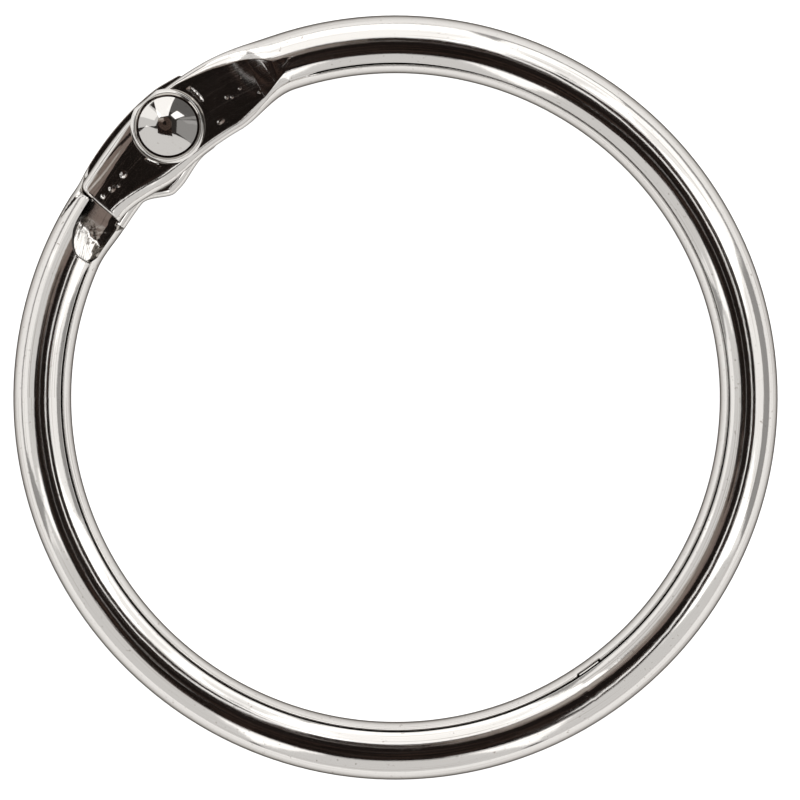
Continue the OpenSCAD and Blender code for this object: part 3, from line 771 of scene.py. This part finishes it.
class RING_OT_rear_half(bpy.types.Operator):
    """Rolls the rear half and presses its dish and tongue"""
    bl_idname = "ring.rear_half"
    bl_label = "Rear half"

    def execute(self, context):
        size, looks = context.scene.ring_sizes, context.scene.ring_looks
        gap, fillet, rise = (v / MM for v in (size.seam_gap, size.lip_round, size.rear_rise))
        columns = np.concatenate([
            spread((135, 40), (225, 30), (315, 1))[:-1],
            spread((-45, 60), (45, 6), (45 + LIP_WALL, 64), (135 - LIP_WALL, 6), (135, 1))])
        u_end = (CLOSURE_AT - HINGE_AT) / DEG_PER_MM
        mouth = u_end - MOUTH_LEN
        open_at = DISH_START + 0.35

        def inner_gap(u):
            """Half width of the seam on its inner side, where it opens out into the mouth."""
            return mix(gap / 2, MOUTH_IN, share(u, mouth - MOUTH_EDGE, mouth + MOUTH_EDGE))

        def skin(u):
            if u > DISH_START:
                share_open = max(eased(u, DISH_START - 0.05, open_at), NEARLY_SHUT)
                return outer_path(columns, gap, fillet, share_open, lambda t, p: dished(t, u, p),
                                  inner_gap(u))
            return outer_path(columns, gap, fillet, 0, lambda t, p: rear_section(t, u, rise))

        tube_at = np.concatenate([np.linspace(u_end, mouth + MOUTH_EDGE, 4),
                                  np.linspace(mouth - MOUTH_EDGE, 5.5, 84), np.linspace(5.4, open_at, 3)])
        tube = blank("rear_tube", [placed(closed(skin(u), inner_path(gap, BORE_STEPS, inner_gap(u))), u, 1)
                                   for u in tube_at])
        horn_at = np.concatenate([
            np.linspace(open_at, DISH_START + 0.001, 12),
            DISH_START - 0.4 * (1 - np.cos(np.linspace(0, math.pi / 2, 24))),
            np.linspace(DISH_START - 0.43, -TONGUE_REACH + 0.52, 130),
            -TONGUE_REACH + 0.5 * (1 - np.sin(np.linspace(0, math.pi / 2, 20)))])
        horn = blank("rear_horn", [placed(closed(skin(u)), u, 1) for u in horn_at])
        piece = joined("rear_ring", [tube, horn])
        finished(piece, bright_plating("rear_plating", looks.plating, looks.tarnish, looks.gloss, 0.6),
                 "rear_half", "rear_half_ring")
        return {"FINISHED"}


LEAN = 0.10           # how far the dome's crown stands from its middle, each way
DOME_EDGE = 34.0      # the dome's slope at its edge, in degrees
DOME_BLUNT = 0.85     # how quickly it bends at its crown: below 1, it runs out like a blunt cone
COLLAR_H = 0.12
BEAD_H = 0.12         # height of the bead round the dome
BEAD_FULL = 1.35      # how full the bead's section is
COLLAR_OUT = 1.02     # how far the collar reaches towards the tongue's outer side
GROOVE_W = 0.03       # the groove between the dome and the bead: its width, and two points down its side
GROOVE = ((0.004, 0.03), (0.016, 0.05))
SHANK_R = 0.45
TAIL_R = 0.80
TAIL_H = 0.18
TAIL_PLAY = 0.03      # how far the tail stays clear of the rear tongue


class RING_OT_rivet(bpy.types.Operator):
    """Turns the rivet: dome, grooved collar, shank and tail"""
    bl_idname = "ring.rivet"
    bl_label = "Rivet"

    def execute(self, context):
        size, looks = context.scene.ring_sizes, context.scene.ring_looks
        dome_r, collar_r = size.dome_d / MM / 2, size.collar_d / MM / 2
        face = 2 * TUBE_R - size.front_drop / MM
        top = face + COLLAR_H
        out = np.linspace(0, dome_r, 61)
        slope = np.tan(np.radians(DOME_EDGE * np.sin(math.pi / 2 * out / dome_r) ** DOME_BLUNT))
        fall = np.concatenate([[0], np.cumsum((slope[1:] + slope[:-1]) / 2 * np.diff(out))])
        profile = list(zip(out, top + fall[-1] - fall))
        profile += [(dome_r + past, top - down) for past, down in GROOVE]
        bead_in = dome_r + GROOVE_W
        bead_r = (collar_r - dome_r - GROOVE_W) / 2
        profile += [(bead_in + bead_r * (1 + s), top - BEAD_H * abs(s) ** BEAD_FULL)
                    for s in np.linspace(-0.9, 1, 39)]
        tail_top = size.rear_rise / MM - TAIL_PLAY
        profile += [(collar_r, face), (SHANK_R, face), (SHANK_R, tail_top), (TAIL_R, tail_top),
                    (TAIL_R, tail_top - TAIL_H / 2), (TAIL_R - TAIL_H / 2, tail_top - TAIL_H),
                    (0.0, tail_top - TAIL_H)]
        turns = np.radians(np.linspace(0, 360, 145))
        a = math.radians(HINGE_AT)
        cx, cy = RING_R * math.cos(a), RING_R * math.sin(a)
        # the collar is trimmed level with the tongue's outer side
        room = np.minimum(COLLAR_OUT / np.maximum(np.cos(turns - a), 0.5), collar_r)
        rows = []
        for r, z in profile:
            lean = max(0.0, 1 - (r / dome_r) ** 2) if z > top - 0.01 else 0.0
            on_collar = max(0.0, r - bead_in) / (collar_r - bead_in) if z > face - 0.01 else 0.0
            reach = r - on_collar * (collar_r - room)
            x = cx - LEAN * lean + reach * np.cos(turns)
            y = cy + LEAN * lean + reach * np.sin(turns)
            rows.append(np.stack([x, y, np.full_like(turns, z)], axis=1))
        piece = joined("rivet", [blank("rivet_blank", np.array(rows) * MM)])
        plating = bright_plating("rivet_plating", looks.plating, looks.tarnish, looks.gloss * 0.7, 0.3, 0.0)
        finished(piece, plating, "front_half", "hinge_rivet", crease=24)
        return {"FINISHED"}


# ---- stage ---------------------------------------------------------------------------------------

FRAME_MM = 23.44      # what the camera's view covers at the ring's middle height
LENS = 400.0
SENSOR = 36.0
AIM = (0.132, -0.073)    # the point that it looks straight down on
SOFTBOX_AT = 0.6      # how far away a softbox stands, in metres, unless its row says otherwise

# Overhead cards: name, lowest and highest corner in degrees from straight up, height, colour, stains
BLACK, BROWN = (0.008, 0.006, 0.005), (0.055, 0.034, 0.027)
CARDS = (
    ("overhead_dark", (-30, -38), (24, 7), 0.5, BLACK, BROWN),
    ("overhead_dark_far", (-2, 7), (24, 26), 0.5, BLACK, BROWN),
    ("overhead_brown", (-30, 7), (-2, 22), 0.5, (0.22, 0.18, 0.155), (0.30, 0.26, 0.235)),
    ("overhead_grey", (-30, 14.5), (-6, 23), 0.498, (0.50, 0.46, 0.43), (0.42, 0.38, 0.34)),
    ("overhead_core", (-9, -9), (9, 9), 0.40, BLACK, (0.035, 0.022, 0.018)),
    ("overhead_tan", (-17, 3), (-6.5, 10), 0.399, (0.24, 0.19, 0.17), (0.20, 0.155, 0.135)),
)

# Softboxes: name, azimuth, lower and upper edge from straight up, half width, brightness, distance
HALVES_SOFTBOXES = (
    ("key", 96, 26, 88, 20, 1.5),
    ("side_left", 158, 30, 82, 32, 0.9),
    ("side_right", 2, 27, 60, 24, 1.3),
    ("upper_right", 38, 28, 80, 14, 1.3),
    ("upper_middle", 63, 38, 84, 11, 1.3),
    ("fill_left", 225, 35, 90, 24, 0.88),
    ("fill_front", 270, 41, 90, 22, 0.88),
    ("fill_right", 315, 31, 90, 24, 0.88),
    *((f"horizon_{n}", 45 * n, 60, 92, 23, 0.40, 0.7) for n in range(5)),
    ("slot_right", 10, 10.6, 14.4, 30, 1.5, 0.45),
    ("slot_left", 178, 9, 10.6, 14, 0.35, 0.45),
    ("slot_top", 82, 11.5, 12.8, 10, 0.35, 0.45),
)
RIVET_SOFTBOXES = (
    ("rivet_top", 100, 29, 92, 22, 1.5),
    ("rivet_left", 155, 31, 92, 28, 0.85),
    ("rivet_left_edge", 146, 44, 92, 14, 0.5, 0.58),
    ("rivet_square", 40, 38, 56, 10, 1.8),
    ("rivet_window", 45, 46, 92, 34, 0.12, 0.65),
    ("rivet_streak", 20, 44, 80, 3, 0.22),
    ("rivet_right", -10, 38, 92, 20, 0.36),
    ("rivet_front", 260, 29, 92, 68, 0.90),
)
RIVET_HALO = ("rivet_halo", 90, -27, 27, 27, 0.045, 0.46)    # a faint warm disc straight overhead
HALO_COLOUR = (1.0, 0.72, 0.60)
ROOM_COLOUR = (0.04, 0.036, 0.034, 1)


def lit_group(name, pieces):
    """A collection of the pieces that a softbox lights."""
    group = bpy.data.collections.new(name)
    for piece in pieces:
        group.objects.link(bpy.data.objects[piece])
    return group


def softbox(lights, name, azimuth, low, high, half_width, radiance, distance=SOFTBOX_AT):
    """A flat softbox facing the ring, that lights one group of pieces. low and high are angles from
    straight up, in degrees."""
    middle = math.radians((low + high) / 2)
    back = Vector((math.cos(math.radians(azimuth)) * math.sin(middle),
                   math.sin(math.radians(azimuth)) * math.sin(middle), math.cos(middle)))
    light = bpy.data.lights.new(name, "AREA")
    light.shape = "RECTANGLE"
    light.size = 2 * distance * math.tan(math.radians(half_width))
    light.size_y = 2 * distance * math.tan(math.radians((high - low) / 2))
    light.energy = radiance * math.pi * light.size * light.size_y
    obj = bpy.data.objects.new(name, light)
    bpy.context.scene.collection.objects.link(obj)
    obj.location = back * distance
    obj.rotation_euler = back.to_track_quat("Z", "Y").to_euler()
    obj.light_linking.receiver_collection = lights
    return obj


def card(name, low, high, height, colour, stain):
    """A flat card overhead, between two corners in degrees from straight up, seen from the ring."""
    low, high = (height * np.tan(np.radians(c)) for c in (low, high))
    deselect()
    bpy.ops.mesh.primitive_plane_add(size=2)
    obj = bpy.context.object
    obj.name = name
    centre, half = (low + high) / 2, (high - low) / 2
    corners = [(centre[0] + sx * half[0], centre[1] + sy * half[1], height)
               for sx, sy in ((-1, -1), (1, -1), (-1, 1), (1, 1))]
    obj.data.vertices.foreach_set("co", np.array(corners, dtype=np.float32).reshape(-1))
    obj.data.materials.append(card_material(name, colour, stain))


class RING_OT_stage(bpy.types.Operator):
    """Sets the floor, the cards, the soft lights and the camera"""
    bl_idname = "ring.stage"
    bl_label = "Stage"

    def execute(self, context):
        looks = context.scene.ring_looks
        deselect()
        bpy.ops.mesh.primitive_plane_add(size=4)
        floor = context.object
        floor.name = "floor"
        floor.data.materials.append(matte_floor(looks.floor, looks.floor_glow))
        for row in CARDS:
            card(*row)
        halves = lit_group("halves", ("front_ring", "rear_ring", "floor"))
        rivet = lit_group("rivet_alone", ("rivet",))
        for row in HALVES_SOFTBOXES:
            softbox(halves, *row)
        for row in RIVET_SOFTBOXES:
            softbox(rivet, *row)
        halo = softbox(rivet, *RIVET_HALO).data
        halo.shape, halo.color = "ELLIPSE", HALO_COLOUR
        world = bpy.data.worlds.new("studio")
        world.use_nodes = True
        world.node_tree.nodes["Background"].inputs["Color"].default_value = ROOM_COLOUR
        context.scene.world = world
        context.scene.view_settings.view_transform = "Standard"
        cam = bpy.data.cameras.new("camera")
        cam.lens, cam.sensor_width = LENS, SENSOR
        cam.clip_start, cam.clip_end = 0.001, 10.0
        eye = bpy.data.objects.new("camera", cam)
        context.scene.collection.objects.link(eye)
        eye.location = (AIM[0] * MM, AIM[1] * MM, (FRAME_MM * LENS / SENSOR + TUBE_R) * MM)
        context.scene.camera = eye
        return {"FINISHED"}


class RING_PT_panel(bpy.types.Panel):
    """Lists the ring's pieces and sizes"""
    bl_label = "Binder ring"
    bl_idname = "RING_PT_panel"
    bl_space_type = "VIEW_3D"
    bl_region_type = "UI"
    bl_category = "Binder ring"

    def draw(self, context):
        for maker in MAKERS:
            self.layout.operator(maker.bl_idname)
        for group in (context.scene.ring_sizes, context.scene.ring_looks):
            for key in group.bl_rna.properties.keys():
                if key not in ("name", "rna_type"):
                    self.layout.prop(group, key)


MAKERS = (RING_OT_front_half, RING_OT_rear_half, RING_OT_rivet, RING_OT_stage)
CLASSES = (RingSizes, RingLooks, *MAKERS, RING_PT_panel)


def register():
    for cls in CLASSES:
        bpy.utils.register_class(cls)
    bpy.types.Scene.ring_sizes = PointerProperty(type=RingSizes)
    bpy.types.Scene.ring_looks = PointerProperty(type=RingLooks)


def unregister():
    del bpy.types.Scene.ring_looks
    del bpy.types.Scene.ring_sizes
    for cls in reversed(CLASSES):
        bpy.utils.unregister_class(cls)


def main():
    register()
    bpy.ops.ring.front_half()
    bpy.ops.ring.rear_half()
    bpy.ops.ring.rivet()
    bpy.ops.ring.stage()


if __name__ == "__main__":
    main()
